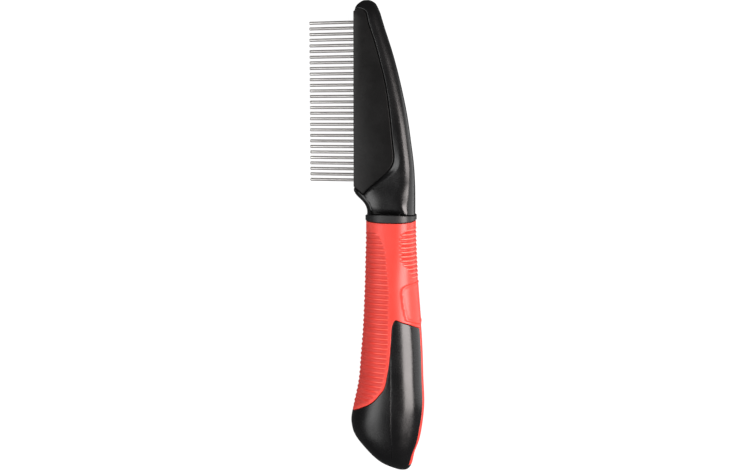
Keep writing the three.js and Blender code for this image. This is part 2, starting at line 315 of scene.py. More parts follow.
# Where the pin block meets the frame, from its lower end round to the head's tip.
seam_line = smooth_line([
    (-15.9, 125.9), (-13.3, 124), (-11.7, 122.85), (-11.1, 122.8), (-10.2, 123.9), (-8.9, 125.3), (-4.9, 129),
    (-1.4, 132.1), (1, 135.1), (1.8, 138), (1.6, 142), (1.1, 146.1), (0.25, 154.5), (-0.85, 162.9),
    (-2.3, 171.2), (-4.5, 179.6), (-6.3, 186.1), (-8.3, 192), (-9.4, 195.2), (-10, 198), (-10.7, 199.7),
    (-11.8, 200.5), (-13.2, 201), (-14.5, 200.9), (-15.4, 200.3),
], 0.3)
# The edge of the black panel and butt that the grip meets.
panel_line = smooth_line([
    (-17, 26.2), (-15, 27.2), (-10.8, 29.4), (-8.1, 30.9), (-5, 33.4), (-3.2, 35.6), (-1.2, 38.2), (0.2, 43),
    (1.3, 49.5), (2, 57), (2.4, 64), (3.2, 68.2), (4.1, 69.3), (5.7, 68.8), (8.4, 67.8), (12.4, 65.7),
    (13.6, 64.6), (15, 63.2),
])
# The front edge of the field of finger ribs, down to where the panel's margin takes over.
finger_field_line = smooth_line([
    (-9, 107.6), (-6.2, 107.2), (-3.9, 105.9), (-2.5, 103.7), (-1.4, 101.3), (-0.8, 98.7), (-0.3, 95.6),
    (0.1, 91.5), (0.5, 87.5), (0.9, 83.3), (1, 77.8), (1.1, 69), (1.2, 60),
])
# The front edge of the field of palm ribs, from its top.
palm_field_line = smooth_line([
    (12, 109.3), (8.6, 108.5), (6.6, 107), (5.8, 104.9), (5.7, 101), (5.8, 97.4), (6.2, 94.6), (7.4, 92.6),
    (8.9, 90.8), (9.8, 88.6), (10.3, PALM_FIELD_END_Y),
])
# The edge of the raised pad below the palm ribs.
pad_line = smooth_line([
    (15, 85.6), (13.2, 85.4), (11, 85.1), (8.9, 84.6), (7.2, 83.7), (6.4, 82.4), (6.3, 80.6), (6.7, 76.8),
    (7.4, 73), (8.1, 69.7), (8.6, 66),
])
# The crease across the neck, from the pin block's lower end down to the collar.
neck_crease_line = smooth_line([
    (-12.2, 123.8), (-11.05, 122.66), (-9.6, 121.05), (-8.26, 119.3), (-7.4, 117.4), (-7.1, 116), (-7, 114),
])


# ---- regions of the plan ----


def distance_to(line, points):
    """How far points are from a line, seen from above."""
    nearest = np.full(len(points), np.inf)
    flat = points[:, :2]
    for start, end in zip(line[:-1], line[1:]):
        run = end - start
        share = np.clip((flat - start) @ run / (run @ run), 0, 1)
        nearest = np.minimum(nearest, np.linalg.norm(flat - start - share[:, None] * run, axis=1))
    return nearest


def inside(outline, points):
    """True for the points that lie in a closed outline, seen from above."""
    x, y = points[:, 0], points[:, 1]
    found = np.zeros(len(points), bool)
    for (x0, y0), (x1, y1) in zip(outline, np.roll(outline, -1, axis=0)):
        if y0 != y1:
            crosses = (y0 > y) != (y1 > y)
            found ^= crosses & (x < x0 + (y - y0) * (x1 - x0) / (y1 - y0))
    return found


def region(line, corners):
    """A function that gives how far points lie inside a region. Its edge is the line, closed by corners that
    lie clear of the object, so that only the line counts."""
    outline = np.vstack([line, corners])
    return lambda points: np.where(inside(outline, points), 1, -1) * distance_to(line, points)


in_block = region(seam_line, [(-OUTSIDE, 200.3), (-OUTSIDE, 125.9)])
in_panel = region(
    panel_line, [(OUTSIDE, 63.2), (OUTSIDE, -OUTSIDE), (-OUTSIDE, -OUTSIDE), (-OUTSIDE, 26.2)]
)
in_finger_field = region(finger_field_line, [(1.2, 0), (-OUTSIDE, 0), (-OUTSIDE, 107.6)])
in_palm_field = region(palm_field_line, [(OUTSIDE, PALM_FIELD_END_Y), (OUTSIDE, 109.3)])
in_pad = region(pad_line, [(OUTSIDE, 66), (OUTSIDE, 84.4)])
on_ledge = region(neck_crease_line, [(-OUTSIDE, 114), (-OUTSIDE, 123.8)])


def soft_most(a, b, round_off=0.6):
    """The greater of two distances, with the corner between them rounded."""
    share = np.clip(0.5 + 0.5 * (a - b) / round_off, 0, 1)
    return b + (a - b) * share + round_off * share * (1 - share)


def under_grip(points):
    """How far points lie inside what the grip covers: all that isn't panel, and the strip."""
    half = STRIP_HALF + STRIP_WIDER * smoothstep(points[:, 1], *STRIP_WIDER_Y)
    strip = np.minimum(half - np.abs(points[:, 2]), points[:, 1] - STRIP_END_Y)
    strip = np.where(points[:, 0] > STRIP_INNER_X, strip, -OUTSIDE)
    return soft_most(-in_panel(points), strip)


# ---- skins ----


def section(y, left, right, centre, half, left_power, right_power):
    """A ring of points round a section. With a power of 2 it is an ellipse, and with a higher one squarer."""
    turn = 2 * math.pi * np.arange(COLUMNS) / COLUMNS
    across, up = np.cos(turn), np.sin(turn)
    across[np.abs(across) < TINY] = 0
    up[np.abs(up) < TINY] = 0
    power = np.where(across >= 0, right_power, left_power)
    size = (np.abs(across) ** power + np.abs(up) ** power) ** (-1 / power)
    reach = np.where(across >= 0, right - centre, centre - left)
    return np.stack([centre + reach * across * size, np.full(COLUMNS, y), half * up * size], 1)


def vertex_normals(points, faces):
    """The direction that the surface faces at each point, as the mean of the faces round it."""
    normals = np.zeros_like(points)
    for face in faces:
        corners = points[list(face[:4])]
        crossed = np.cross(corners[2] - corners[0], corners[-1] - corners[1])
        for i in face:
            normals[i] += crossed
    return normals / np.maximum(np.linalg.norm(normals, axis=1), 1e-12)[:, None]


class Skin:
    """A surface that can be cut along lines where a function of its points has one value."""

    def __init__(self, points, faces):
        self.points = np.array(points, float)
        self.faces = faces
        self.normals = vertex_normals(self.points, faces)

    def cut(self, field, level):
        """Splits the faces that the line crosses. Neighbours share the new points."""
        values = field(self.points) - level
        values[np.abs(values) < TINY] = TINY
        above = (values > 0).tolist()
        count = len(self.points)
        made, points, normals, faces = {}, [], [], []
        for face in self.faces:
            if len({above[i] for i in face}) == 1:
                faces.append(face)
                continue
            ring = []
            for a, b in zip(face, face[1:] + face[:1]):
                ring.append(a)
                if above[a] == above[b]:
                    continue
                key = (min(a, b), max(a, b))
                if key not in made:
                    share = values[key[0]] / (values[key[0]] - values[key[1]])
                    made[key] = count + len(points)
                    points.append(self.points[key[0]] * (1 - share) + self.points[key[1]] * share)
                    normals.append(self.normals[key[0]] * (1 - share) + self.normals[key[1]] * share)
                ring.append(made[key])
            new = [k for k, i in enumerate(ring) if i >= count]
            if len(new) == 2:
                faces.append(tuple(ring[new[0] : new[1] + 1]))
                faces.append(tuple(ring[new[1] :] + ring[: new[0] + 1]))
            else:
                faces.append(tuple(ring))
        if points:
            self.points = np.vstack([self.points, points])
            self.normals = np.vstack([self.normals, normals])
            self.normals /= np.linalg.norm(self.normals, axis=1)[:, None]
        self.faces = faces

    def keep(self, field, level):
        """Cuts along the line and drops what is below it."""
        self.cut(field, level)
        values = field(self.points) - level
        self.faces = [face for face in self.faces if sum(values[i] for i in face) > 0]
        used = sorted({i for face in self.faces for i in face})
        new = {old: i for i, old in enumerate(used)}
        self.points = self.points[used]
        self.normals = self.normals[used]
        self.faces = [tuple(new[i] for i in face) for face in self.faces]

    def lip(self, field, level, steps=LIP_STEPS):
        """Drops what is below the level, and adds lines beside the edge for its rounding."""
        self.keep(field, level)
        for step in steps:
            self.cut(field, level + step)


def tube(rings):
    """A closed skin over rings of points, the first at the low end. The two ends close to a point."""
    points = [rings[0].mean(0)] + [p for ring in rings for p in ring] + [rings[-1].mean(0)]
    last = len(points) - 1
    faces = []
    for i in range(COLUMNS):
        after = (i + 1) % COLUMNS
        faces.append((0, 1 + i, 1 + after))
        for ring in range(len(rings) - 1):
            low = 1 + ring * COLUMNS
            faces.append((low + i, low + COLUMNS + i, low + COLUMNS + after, low + after))
        top = 1 + (len(rings) - 1) * COLUMNS
        faces.append((last, top + after, top + i))
    return Skin(points, faces)


def open_edges(faces):
    """The edges that only one face has, in the direction that the face runs them."""
    edges = {(a, b) for face in faces for a, b in zip(face, face[1:] + face[:1])}
    return [(a, b) for a, b in edges if (b, a) not in edges]


def shell(outer, inner, faces):
    """A closed wall between a skin and the same skin further in."""
    count = len(outer)
    walls = [(b, a, a + count, b + count) for a, b in sorted(open_edges(faces))]
    inside_faces = [tuple(i + count for i in reversed(face)) for face in faces]
    return np.vstack([outer, inner]), faces + inside_faces + walls


def rounding(depth, radius=LIP):
    """How far a rounded edge has dropped at a depth in from the edge."""
    left = np.clip(radius - depth, 0, radius)
    return radius - np.sqrt(radius * radius - left * left)


# ---- objects ----


def place(points):
    """From the comb's own plan, in mm, to the row frame, in metres."""
    return np.asarray(points) * MM + np.array(ORIGIN)


def smooth_shade(mesh):
    """Smooth shading, with hard edges where the surface turns sharply."""
    mesh.shade_smooth()
    mesh.set_sharp_from_angle(angle=math.radians(SHARP_ANGLE))


def piece(name, points, faces, material, node, body="comb", mark=None):
    """A finished piece that stands for one CAD node and moves with its body."""
    mesh = bpy.data.meshes.new(name)
    mesh.from_pydata(place(points).tolist(), [], faces)
    if mark is not None:
        mesh.attributes.new("mark", "FLOAT", "POINT").data.foreach_set("value", mark.astype(np.float32))
    work = bmesh.new()
    work.from_mesh(mesh)
    bmesh.ops.remove_doubles(work, verts=work.verts, dist=MERGE * MM)
    work.to_mesh(mesh)
    work.free()
    smooth_shade(mesh)
    made = bpy.data.objects.new(name, mesh)
    bpy.context.scene.collection.objects.link(made)
    made.data.materials.append(material)
    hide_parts(node)
    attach(made, body)
    return made


# ---- materials ----


class Nodes:
    """Short names for the nodes of one material. Textures are laid out in mm on the piece itself."""

    def __init__(self, name):
        self.material = bpy.data.materials.new(name)
        self.material.use_nodes = True
        self.tree = self.material.node_tree
        self.shader = self.tree.nodes["Principled BSDF"]
        place_node = self.tree.nodes.new("ShaderNodeTexCoord")
        self.spot = self.stretched(place_node.outputs["Object"], (1 / MM, 1 / MM, 1 / MM))

    def link(self, source, target):
        self.tree.links.new(source, target)

    def stretched(self, vector, scale):
        node = self.tree.nodes.new("ShaderNodeMapping")
        node.inputs["Scale"].default_value = scale
        self.link(vector, node.inputs["Vector"])
        return node.outputs["Vector"]

    def noise(self, size, detail, vector=None):
        """Noise whose lumps are about that many mm across, from 0 to 1."""
        node = self.tree.nodes.new("ShaderNodeTexNoise")
        node.inputs["Scale"].default_value = 1 / size
        node.inputs["Detail"].default_value = detail
        self.link(vector or self.spot, node.inputs["Vector"])
        return node.outputs["Fac"]

    def cells(self, size):
        """Small pits that many mm apart."""
        node = self.tree.nodes.new("ShaderNodeTexVoronoi")
        node.inputs["Scale"].default_value = 1 / size
        self.link(self.spot, node.inputs["Vector"])
        return node.outputs["Distance"]

    def mark(self):
        """The value that the piece's own points carry: on black plastic, wear and a painted highlight at
        edges; on the grip, painted shade between the ribs and a painted highlight on their crests.
        """
        node = self.tree.nodes.new("ShaderNodeAttribute")
        node.attribute_name = "mark"
        return node.outputs["Fac"]

    def range(self, value, low, high, from_low=0.3, from_high=0.7):
        """A value brought to the range from low to high. Noise mostly lies between 0.3 and 0.7."""
        node = self.tree.nodes.new("ShaderNodeMapRange")
        node.inputs["From Min"].default_value = from_low
        node.inputs["From Max"].default_value = from_high
        node.inputs["To Min"].default_value = low
        node.inputs["To Max"].default_value = high
        self.link(value, node.inputs["Value"])
        return node.outputs["Result"]

    def combine(self, a, b, operation="ADD"):
        node = self.tree.nodes.new("ShaderNodeMath")
        node.operation = operation
        for value, socket in zip((a, b), node.inputs):
            if isinstance(value, float):
                socket.default_value = value
            else:
                self.link(value, socket)
        return node.outputs[0]

    def blend(self, share, dark, light):
        """A colour between two, by a value from 0 to 1. Either may itself be a socket."""
        node = self.tree.nodes.new("ShaderNodeMix")
        node.data_type = "RGBA"
        self.link(share, node.inputs["Factor"])
        for colour, socket in ((dark, node.inputs["A"]), (light, node.inputs["B"])):
            if isinstance(colour, tuple):
                socket.default_value = (*colour, 1)
            else:
                self.link(colour, socket)
        return node.outputs["Result"]

    def bump(self, height, depth):
        """Bumps whose full height is that many mm."""
        node = self.tree.nodes.new("ShaderNodeBump")
        node.inputs["Distance"].default_value = depth * MM
        self.link(height, node.inputs["Height"])
        self.link(node.outputs["Normal"], self.shader.inputs["Normal"])

    def set(self, **sockets):
        """Plain values go on the shader's own sockets, and the rest are linked."""
        for name, value in sockets.items():
            socket = self.shader.inputs[name.replace("_", " ")]
            if isinstance(value, (float, tuple)):
                socket.default_value = value
            else:
                self.link(value, socket)


def moulded_plastic(name, dark, light, roughness, grain, edge_wear_and_highlight=5.0, shine=0.5):
    """Black moulded plastic: fine spark-eroded grain, slow changes of gloss, and lighter edges, partly wear
    and partly a painted highlight on the rounded lips. The grain's size is in mm, and edge_wear_and_highlight
    is how many times lighter such an edge is."""
    n = Nodes(name)
    fine = n.noise(grain, 3)
    pits = n.cells(grain * 1.7)
    slow = n.noise(9, 2)
    # The mark lightens edges: partly wear, partly a painted highlight on the rounded lips.
    edge = n.range(n.mark(), 0.0, 1.0, 0.0, 1.0)
    shade = n.blend(n.range(slow, 0.0, 1.0), dark, light)
    worn_and_lit_edge = tuple(value * edge_wear_and_highlight for value in light)
    rough = n.combine(n.range(slow, roughness - 0.03, roughness + 0.03), n.range(fine, -0.05, 0.05))
    n.set(
        Specular_IOR_Level=shine,
        Base_Color=n.blend(edge, shade, worn_and_lit_edge),
        Roughness=n.combine(rough, n.range(edge, 0.0, -0.06, 0.0, 1.0)),
        IOR=1.5,
    )
    n.bump(n.combine(fine, n.combine(pits, 0.5, "MULTIPLY")), GRAIN_DEPTH)
    return n.material


def soft_rubber():
    """Red soft-touch rubber with fine matt grain, with painted shade that darkens the grooves and a painted
    highlight that makes the ribs' crests paler.
    """
    n = Nodes("soft_red_rubber")
    fine = n.noise(0.16, 3)
    slow = n.noise(7, 3)
    # low is the red with painted shade for the grooves, high the rubber's own red; the pale pink is a painted
    # crest highlight.
    low = n.blend(n.range(slow, 0.0, 1.0), (0.41, 0.018, 0.012), (0.46, 0.022, 0.015))
    high = n.blend(n.range(slow, 0.0, 1.0), (0.62, 0.038, 0.024), (0.66, 0.043, 0.028))
    height = n.mark()
    plain = n.blend(n.range(height, 0.0, 1.0, 0.0, 0.6), low, high)
    crest = n.range(height, 0.0, 1.0, 0.6, 1.0)
    n.set(
        Base_Color=n.blend(crest, plain, (0.76, 0.18, 0.14)),
        Roughness=n.combine(n.range(fine, 0.37, 0.47), n.range(height, 0.06, -0.08, 0.0, 1.0)),
        IOR=1.5,
        Subsurface_Weight=0.06,
        Subsurface_Radius=(1.0, 0.25, 0.15),
        Subsurface_Scale=0.0012,
    )
    n.bump(fine, 0.012)
    return n.material


def drawn_steel():
    """Steel wire, with drawing lines along it and a few duller stretches."""
    n = Nodes("drawn_steel")
    lines = n.noise(1, 4, n.stretched(n.spot, (0.04, 4, 4)))
    dull = n.noise(2.5, 2)
    n.set(
        Base_Color=n.blend(n.range(lines, 0.0, 1.0), (0.42, 0.405, 0.395), (0.72, 0.70, 0.685)),
        Metallic=1.0,
        Roughness=n.combine(n.range(lines, 0.42, 0.32), n.range(dull, 0.0, 0.08)),
    )
    n.bump(lines, 0.002)
    return n.material


frame_plastic = moulded_plastic(
    "black_frame_plastic",
    dark=(0.0026, 0.0026, 0.0028),
    light=(0.0038, 0.0038, 0.004),
    roughness=0.25,
    grain=0.3,
    edge_wear_and_highlight=4.0,
)
plate_plastic = moulded_plastic(
    "satin_plate_plastic",
    dark=(0.0065, 0.0065, 0.0065),
    light=(0.0085, 0.0085, 0.0085),
    roughness=0.26,
    grain=0.22,
    edge_wear_and_highlight=4.0,
    shine=0.17,
)
core_plastic = moulded_plastic(
    "black_core_plastic",
    dark=(0.0018, 0.0018, 0.0021),
    light=(0.0028, 0.0028, 0.0031),
    roughness=0.25,
    grain=0.26,
)
collar_plastic = moulded_plastic(
    "black_collar_plastic",
    dark=(0.007, 0.007, 0.0074),
    light=(0.009, 0.009, 0.0094),
    roughness=0.44,
    grain=0.26,
)
rubber = soft_rubber()
steel = drawn_steel()


# ---- handle ----


def palm_power(y):
    """The handle is squarer on the palm side near its top."""
    return HANDLE_POWER + (TOP_PALM_POWER - HANDLE_POWER) * smoothstep(y, *TOP_PALM_FADE_Y)


def end_shrink(distance, length):
    """The share of its full size that a section has at a distance from a round end of that length."""
    return math.sqrt(max(1 - (1 - min(distance / length, 1)) ** 2, END_SHRINK_LEAST))


def handle_section(y):
    left, right = finger_edge(y), palm_edge(y)
    shift = BULGE_SHIFT * smoothstep(y, *BULGE_FADE_Y) * smoothstep(y, *BULGE_BUTT_FADE_Y)
    centre = (left + right) / 2 + shift
    shrink = end_shrink(y, BUTT_END)
    return section(
        y,
        centre + (left - centre) * shrink,
        centre + (right - centre) * shrink,
        centre,
        handle_half(y) * shrink,
        HANDLE_POWER,
        palm_power(y),
    )


def butt_stations(first, top, count=26):
    """Stations that lie closer together towards the end of the butt."""
    return [y for y in (top * (k / count) ** 2 for k in range(1, count + 1)) if y > first]


def spaced(low, high, step):
    """Even stations after low, up to high and about a step apart."""
    count = max(int(round((high - low) / step)), 1)
    return [low + (high - low) * k / count for k in range(1, count + 1)]


def channel_depth(y):
    """How deep the core lies under the grip. It is shallower towards the butt."""
    low, high = CHANNEL_DEPTH
    return low + (high - low) * smoothstep(y, STRIP_END_Y, CHANNEL_FULL_Y)


def core_wall(y):
    """How deep the core's inner side lies under the grip's outer side."""
    low, high = CORE_WALL
    return channel_depth(y) + low + (high - low) * smoothstep(y, STRIP_END_Y, CHANNEL_FULL_Y)


def rib_wave(y, top, pitch, sharpness):
    """1 on top of each rib and 0 in the grooves between them."""
    return (0.5 + 0.5 * np.cos(2 * math.pi * (y - top) / pitch)) ** sharpness


def grip_relief(points):
    """How far the grip's surface stands above its plain form, and the mark for the painted shade between the
    ribs and the painted highlight on their crests."""
    y = points[:, 1]
    margin = under_grip(points) - RIB_MARGIN
    finger = smoothstep(np.minimum(in_finger_field(points), margin), -0.05, 0.25)
    finger = finger * smoothstep(FINGER_RIB_TOP + FINGER_RIB_PITCH / 2 - y, -0.2, 0.5)
    palm = smoothstep(in_palm_field(points), -0.1, 0.6)
    palm = palm * smoothstep(y - PALM_FIELD_END_Y, 0, 0.9) * smoothstep(GRIP_TOP_Y - RIB_MARGIN - y, 0, 0.8)
    finger_wave = rib_wave(y, FINGER_RIB_TOP, FINGER_RIB_PITCH, FINGER_RIB_SHARPNESS)
    palm_wave = rib_wave(y, PALM_RIB_TOP, PALM_RIB_PITCH, PALM_RIB_SHARPNESS)
    height = finger * (RIB_RISE - (RIB_RISE + RIB_DROP) * (1 - finger_wave))
    height = height + palm * (RIB_RISE - (RIB_RISE + RIB_DROP) * (1 - palm_wave)) * PALM_RIB_SCALE
    pad = np.minimum(in_pad(points), margin)
    rim = smoothstep(pad, -0.05, 0.3) * smoothstep(pad, PAD_RIM_WIDTH + 0.4, PAD_RIM_WIDTH)
    height = height + PAD_RISE * smoothstep(pad, -0.15, 0.25) + PAD_RIM_RISE * rim
    crest = FINGER_SIDE_CREST_HIGHLIGHT + (1 - FINGER_SIDE_CREST_HIGHLIGHT) * smoothstep(points[:, 0], *FINGER_SIDE_CREST_HIGHLIGHT_X)
    # The mark paints shade between the ribs and a highlight on their crests, fainter on the finger side.
    mark = SMOOTH + finger * (finger_wave**2 * crest * (1 - GROOVE_SHADE) + GROOVE_SHADE - SMOOTH)
    mark = mark + palm * (palm_wave**2 * PALM_CREST_HIGHLIGHT - (1 - palm_wave) * (SMOOTH - GROOVE_SHADE))
    return height, np.clip(mark, 0, 1)


def below_collar(points):
    """How far points lie below the collar, which dips at the front and back."""
    dip = COLLAR_DIP * (points[:, 2] / handle_half(points[:, 1])) ** 2
    return GRIP_TOP_Y - dip - points[:, 1]


def make_grip():
    """The red sleeve: a wall over the core's channel, open at the panels, with a strip between them."""
    ribs_low, ribs_high = RIB_SECTIONS_Y
    stations = butt_stations(GRIP_BUTT_Y, BUTT_Y) + spaced(BUTT_Y, ribs_low, 0.8)
    stations += spaced(ribs_low, ribs_high, RIB_STEP) + spaced(ribs_high, GRIP_TOP_Y, 0.35)
    skin = tube([handle_section(y) for y in stations])
    skin.keep(lambda p: p[:, 1], stations[0] + CUT_MARGIN)
    skin.lip(below_collar, CUT_MARGIN, GRIP_TOP_STEPS)
    skin.lip(under_grip, SEAM_GAP)
    relief, mark = grip_relief(skin.points)
    drop = rounding(under_grip(skin.points) - SEAM_GAP)
    drop = drop + rounding(below_collar(skin.points), GRIP_TOP_STEPS[-1])
    outer = skin.points + skin.normals * (relief - drop)[:, None]
    inner = skin.points - skin.normals * (channel_depth(skin.points[:, 1]) - GRIP_CLEARANCE)[:, None]
    points, faces = shell(outer, inner, skin.faces)
    piece("soft_grip", points, faces, rubber, "grip_sleeve", mark=np.concatenate([mark, mark]))


def make_core(side, name, node):
    """One half of the core: bare at the panel and butt, and sunk under the grip elsewhere. side is 1 for the
    palm side."""

    def past_split(points):
        return side * (points[:, 0] - SPLIT_X)

    stations = butt_stations(0.0, BUTT_Y) + spaced(BUTT_Y, GRIP_TOP_Y, 0.6)
    skin = tube([handle_section(y) for y in stations])
    skin.keep(below_collar, CUT_MARGIN)
    for level in (0.0, -SEAM_GAP, *(-SEAM_GAP - step for step in LIP_STEPS)):
        skin.cut(under_grip, level)
    skin.lip(past_split, SPLIT_GAP, SPLIT_STEPS)
    sunk = under_grip(skin.points)
    y = skin.points[:, 1]
    from_split = past_split(skin.points) - SPLIT_GAP
    bare = sunk < -SEAM_GAP / 2
    seen = smoothstep(y, *SPLIT_FADE_Y)
    crease = rounding(from_split, SPLIT_STEPS[-1]) * seen * smoothstep(y, *SPLIT_BUTT_FADE_Y)
    drop = np.where(bare, rounding(-sunk - SEAM_GAP) + crease, channel_depth(y))
    outer = skin.points - skin.normals * drop[:, None]
    inner = skin.points - skin.normals * core_wall(y)[:, None]
    at_split = from_split < 1e-3
    outer[at_split, 0] = skin.points[at_split, 0]
    inner[at_split, 0] = skin.points[at_split, 0]
    # Lighter beside the grip's seam and along the split: partly wear, partly a painted highlight on the
    # rounded edges.
    mark = np.where(bare, smoothstep(-sunk - SEAM_GAP, 0.3, 0.0) * CORE_WEAR_AND_HIGHLIGHT, 0)
    mark = np.maximum(mark, smoothstep(from_split, 0.4, 0.1) * SPLIT_WEAR_AND_HIGHLIGHT * seen)
    points, faces = shell(outer, inner, skin.faces)
    piece(name, points, faces, core_plastic, node, mark=np.concatenate([mark, mark]))


def collar_rings(end, sign, rise):
    """Rings round one edge of the collar, from its end face out to its side. sign is 1 at the lower edge."""
    low = COLLAR_Y[0]
    left, right, half = finger_edge(low), palm_edge(low), handle_half(low)
    rings = []
    for k in range(ROUND_STEPS + 1):
        turn = math.pi / 2 * k / ROUND_STEPS
        proud = COLLAR_PROUD * math.sin(turn)
        y = end + sign * COLLAR_PROUD * (1 - math.cos(turn))
        ring = section(
            y, left - proud, right + proud, (left + right) / 2, half + proud, HANDLE_POWER, TOP_PALM_POWER
        )
        ring[:, 1] += rise * (ring[:, 2] / half) ** 2
        rings.append(ring)
    return rings


def make_collar():
    """A ring with rounded edges round the tang."""
    low, high = COLLAR_Y
    rings = collar_rings(low, 1, -COLLAR_DIP) + collar_rings(high, -1, COLLAR_RISE)[::-1]
    wide, thick = TANG_HALF_WIDTH + COLLAR_CLEARANCE, TANG_HALF_THICK + COLLAR_CLEARANCE
    rings += [section(y, -wide, wide, 0, thick, TANG_POWER, TANG_POWER) for y in (high, low)]
    points = np.vstack(rings)
    faces = []
    for ring in range(len(rings)):
        this, following = ring * COLUMNS, (ring + 1) % len(rings) * COLUMNS
        for i in range(COLUMNS):
            after = (i + 1) % COLUMNS
            faces.append((this + i, following + i, following + after, this + after))
    piece("collar", points, faces, collar_plastic, "collar_ring", mark=np.zeros(len(points)))


# ---- head ----


def head_section(y, inset=0.0):
    """A section of the neck, or of the pin block with its round spine."""
    left, right = head_pin_edge(y) + inset, head_spine_edge(y) - inset
    flat = smoothstep(y, NECK_Y, BLOCK_Y)
    reach = min(SPINE_REACH, (right - left) / 2)
    middle = (left + right) / 2
    centre = middle + (right - reach - middle) * flat
    shrink = end_shrink(TIP_Y - y, HEAD_TIP)
    return section(
        y,
        centre + (left - centre) * shrink,
        centre + (right - centre) * shrink,
        centre,
        (head_half(y) - inset) * shrink,
        NECK_POWER + (BLOCK_POWER - NECK_POWER) * flat,
        NECK_SPINE_POWER + (SPINE_POWER - NECK_SPINE_POWER) * flat,
    )


def tang_section(y, inset=0.0):
    wide, thick = TANG_HALF_WIDTH - inset, TANG_HALF_THICK - inset
    return section(y, -wide, wide, 0, thick, TANG_POWER, TANG_POWER)


def lowered(points):
    """The frame's points, brought down beside the seam to the pin block's level, down to the neck's flat
    front and rounded foot, and down to the ledge under the block."""
    y = points[:, 1]
    half = head_half(y)
    slope = SEAM_SLOPE[0] + (SEAM_SLOPE[1] - SEAM_SLOPE[0]) * smoothstep(y, *SEAM_SLOPE_Y)
    beside = 1 - smoothstep(-in_block(points), 0, slope)
    level = np.minimum((PLATE_HALF + 0.02) / half, 1)
    lower = points.copy()
    lower[:, 2] *= 1 - (1 - level) * beside * smoothstep(y, *SEAM_SLOPE_START_Y)
    across = np.minimum(lower[:, 0] - FACET_X, 0)
    facet = FACET_Z - across**2 / (2 * FACET_RADIUS) - FACET_SLOPE * (y - FACET_Y)
    high = np.abs(lower[:, 2])
    cut = -soft_most(-high, -facet, 0.5)
    foot = NECK_FOOT_DROP * np.clip((NECK_Y + NECK_FOOT - y) / NECK_FOOT, 0, 1) ** NECK_FOOT_POWER
    foot = foot * smoothstep(points[:, 0], *NECK_FOOT_X)
    cut = cut - foot * high / half
    share = smoothstep(y, NECK_Y + 0.2, NECK_Y + 0.6) * smoothstep(y, *FACET_FADE_Y)
    high = high + (np.minimum(cut, high) - high) * share
    deep = on_ledge(points)
    groove = LEDGE_GROOVE * np.exp(-((deep / LEDGE_GROOVE_REACH) ** 2))
    ledge = np.minimum(LEDGE_Z - LEDGE_LEAN * np.maximum(deep, 0) - groove, high)
    share = smoothstep(deep, 0, LEDGE_STEP)
    share = share * smoothstep(y, *LEDGE_LOW_FADE_Y) * smoothstep(y, *LEDGE_TOP_FADE_Y)
    lower[:, 2] = np.sign(lower[:, 2]) * (high + (ledge - high) * share)
    return lower


def frame_rings():
    """Sections from the tang's end, which is bevelled, over the neck's rounded lower edge to the tip."""
    tang_steps = ((0, 0.6), (0.2, 0.2), (0.7, 0))
    neck_steps = ((0, 0.4), (0.04, 0.16), (0.14, 0.04), (0.35, 0))
    tip_low, tip_count = TIP_Y - 9, 30
    rings = [tang_section(TANG_END_Y + rise, inset) for rise, inset in tang_steps]
    rings += [tang_section(y) for y in spaced(TANG_END_Y + tang_steps[-1][0], NECK_Y, 6)]
    rings += [head_section(NECK_Y + rise, inset) for rise, inset in neck_steps]
    rings += [head_section(y) for y in spaced(NECK_Y + neck_steps[-1][0], NECK_TOP_Y, 0.3)]
    rings += [head_section(y) for y in spaced(NECK_TOP_Y, tip_low, 0.8)]
    rings += [head_section(TIP_Y - (TIP_Y - tip_low) * (1 - k / tip_count) ** 2) for k in range(1, tip_count)]
    return rings


def make_frame():
    """The black frame: the tang, the neck and the spine, cut away where the pin block sits."""
    skin = tube(frame_rings())
    skin.lip(lambda p: -in_block(p), HEAD_GAP)
    skin.cut(on_ledge, CUT_MARGIN)
    skin.cut(on_ledge, LEDGE_STEP)
    beside = -in_block(skin.points)
    outer = lowered(skin.points) - skin.normals * rounding(beside - HEAD_GAP)[:, None]
    near_collar = smoothstep(outer[:, 1], NECK_Y + 4, NECK_Y) * (outer[:, 1] > NECK_Y - CUT_MARGIN)
    outer[:, 1] += COLLAR_RISE * (outer[:, 2] / head_half(NECK_Y)) ** 2 * near_collar
    # Lighter beside the seam: partly wear, partly a painted highlight on the lip.
    mark = smoothstep(beside, 0.45, 0.15) * FRAME_WEAR_AND_HIGHLIGHT
    faces = skin.faces + seam_walls(outer, skin.faces)
    piece("comb_frame", outer, faces, frame_plastic, "head_frame", mark=mark)


def seam_walls(points, faces):
    """Upright walls that join the frame's upper edge at the seam to its lower edge, which mirrors it."""
    edges = open_edges(faces)
    rim = sorted({i for edge in edges for i in edge})
    tree = KDTree(len(rim))
    for i in rim:
        tree.insert(points[i], i)
    tree.balance()
    across = {i: tree.find((points[i][0], points[i][1], -points[i][2]))[1] for i in rim}
    walls = []
    for a, b in edges:
        if points[a][2] + points[b][2] > 0:
            corners = []
            for i in (b, a, across[a], across[b]):
                if i not in corners:
                    corners.append(i)
            if len(corners) > 2:
                walls.append(tuple(corners))
    return walls


def offset_line(line, distance):
    """The line moved sideways, to the left of the way it runs."""
    run = np.gradient(line, axis=0)
    run /= np.linalg.norm(run, axis=1)[:, None]
    return line + distance * np.stack([-run[:, 1], run[:, 0]], 1)


def plate_outline(inset):
    """The plate's plan, further in from the seam and from its own left edge by the inset. A negative inset
    leaves the left edge where it is."""
    line = offset_line(seam_line, HEAD_GAP + inset)
    left = PLATE_LEFT_X + max(inset, 0)
    line = line[line[:, 0] > left + 0.02]
    low, high = line[0], line[-1]
    side = [(left, y) for y in np.linspace(high[1], low[1], PLATE_SIDE_POINTS)]
    return np.vstack([line, side])


